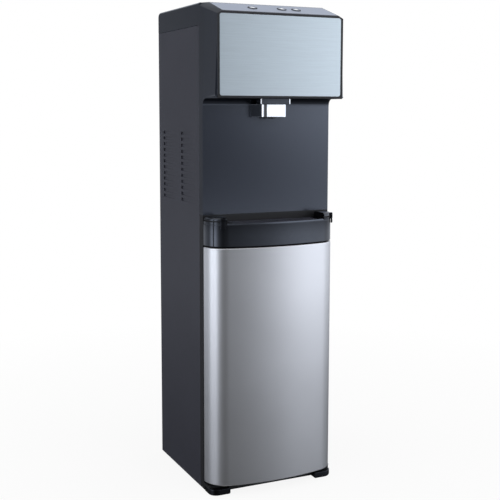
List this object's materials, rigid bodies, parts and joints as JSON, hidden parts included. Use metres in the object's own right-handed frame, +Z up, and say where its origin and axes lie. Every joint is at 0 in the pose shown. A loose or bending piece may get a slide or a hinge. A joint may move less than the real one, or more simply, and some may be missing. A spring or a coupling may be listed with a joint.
{
  "type": "floor-standing water dispenser",
  "caption": "Tall dark water dispenser with a projecting head, push buttons, nozzle over a niche, lift-off drip tray and a bowed silver door over a bottle bay.",
  "frame": {"origin": "on the floor, under the middle of the bounding box", "axes": "+Z up, front of the dispenser towards -Y, +X to the viewer's right from the front"},
  "size_m": [0.31, 0.35, 1.08],
  "materials": {
    "panel_paint": "dark grey satin paint",
    "head_plastic": "fine satin dark grey",
    "fascia_steel": "fine horizontal brushing",
    "strip_silver": "satin silver",
    "gloss_black": "gloss black",
    "door_silver": "metallic silver",
    "chrome": "polished",
    "black_plastic": "matte black",
    "white_plastic": "off-white",
    "zinc_steel": "zinc plated",
    "galvanised": "galvanised sheet",
    "black_metal": "black enamel",
    "rubber": "black rubber",
    "copper": "bare copper",
    "foam": "white foam",
    "hose": "milky tube",
    "board_green": "green laminate"
  },
  "bodies": {
    "cabinet": {"base_pan": "black_plastic", "bay_liner": "white_plastic", "button_board": "board_green", "button_switches": "black_plastic", "cold_tank": "zinc_steel", "cold_tank_jacket": "foam", "cold_tank_lid": "foam", "compressor": "black_metal", "compressor_mounts": "rubber", "condenser": "black_metal", "condenser_clips": "black_plastic", "condenser_wires": "black_metal", "control_strip": "strip_silver", "discharge_pipe": "copper", "drain_plug": "black_plastic", "evaporator_coil": "copper", "front_feet": "gloss_black", "front_frame": "head_plastic", "front_moulding": "head_plastic", "heater_band": "zinc_steel", "hinge_screws": "zinc_steel", "hot_tank": "zinc_steel", "hot_tank_jacket": "foam", "left_side_panel": "panel_paint", "lower_hinge": "zinc_steel", "machine_deck": "galvanised", "magnet_catch": "black_metal", "mains_gland": "black_plastic", "nozzle_base": "gloss_black", "nozzle_block": "chrome", "outlet_pipes": "hose", "power_board": "board_green", "rear_feet": "rubber", "rear_panel": "galvanised", "rear_screws": "zinc_steel", "right_side_panel": "panel_paint", "solenoid_valves": "white_plastic", "spout_insert": "black_plastic", "steel_fascia": "fascia_steel", "suction_fitting": "white_plastic", "switch_frame": "black_plastic", "tank_shelf": "galvanised", "top_cover": "head_plastic", "tray_housing": "gloss_black", "upper_hinge_pin": "zinc_steel", "water_pipes": "hose", "water_pump": "black_plastic"},
    "door": {"door_skin": "door_silver", "door_liner": "white_plastic", "door_hinge_blocks": "black_plastic", "strike_plate": "zinc_steel", "door_bumpers": "rubber"},
    "left_button": {"left_button": "strip_silver"},
    "middle_button": {"middle_button": "strip_silver"},
    "right_button": {"right_button": "strip_silver"},
    "drip_tray": {"drip_tray": "gloss_black"},
    "drip_grille": {"drip_grille": "black_plastic"},
    "heater_rocker": {"heater_rocker": "black_plastic"},
    "cooler_rocker": {"cooler_rocker": "black_plastic"}
  },
  "joints": [
    {"name": "door_hinge", "type": "hinge", "parent": "cabinet", "child": "door", "pos_m": [0.148, -0.115, 0], "axis": [0, 0, 1], "range_deg": [0, 105]},
    {"name": "left_button_press", "type": "slide", "parent": "cabinet", "child": "left_button", "axis": [0, 0.3048, -0.9524], "range_m": [0, 0.002], "stiffness_N_per_m": 400},
    {"name": "middle_button_press", "type": "slide", "parent": "cabinet", "child": "middle_button", "axis": [0, 0.3048, -0.9524], "range_m": [0, 0.002], "stiffness_N_per_m": 400},
    {"name": "right_button_press", "type": "slide", "parent": "cabinet", "child": "right_button", "axis": [0, 0.3048, -0.9524], "range_m": [0, 0.002], "stiffness_N_per_m": 400},
    {"name": "drip_tray_lift", "type": "slide", "parent": "cabinet", "child": "drip_tray", "axis": [0, 0, 1], "range_m": [0, 0.08]},
    {"name": "drip_grille_lift", "type": "slide", "parent": "drip_tray", "child": "drip_grille", "axis": [0, 0, 1], "range_m": [0, 0.04]},
    {"name": "heater_rocker_tilt", "type": "hinge", "parent": "cabinet", "child": "heater_rocker", "pos_m": [-0.118, 0.1595, 0.615], "axis": [1, 0, 0], "range_deg": [-20, 0]},
    {"name": "cooler_rocker_tilt", "type": "hinge", "parent": "cabinet", "child": "cooler_rocker", "pos_m": [-0.092, 0.1595, 0.615], "axis": [1, 0, 0], "range_deg": [-20, 0]}
  ]
}
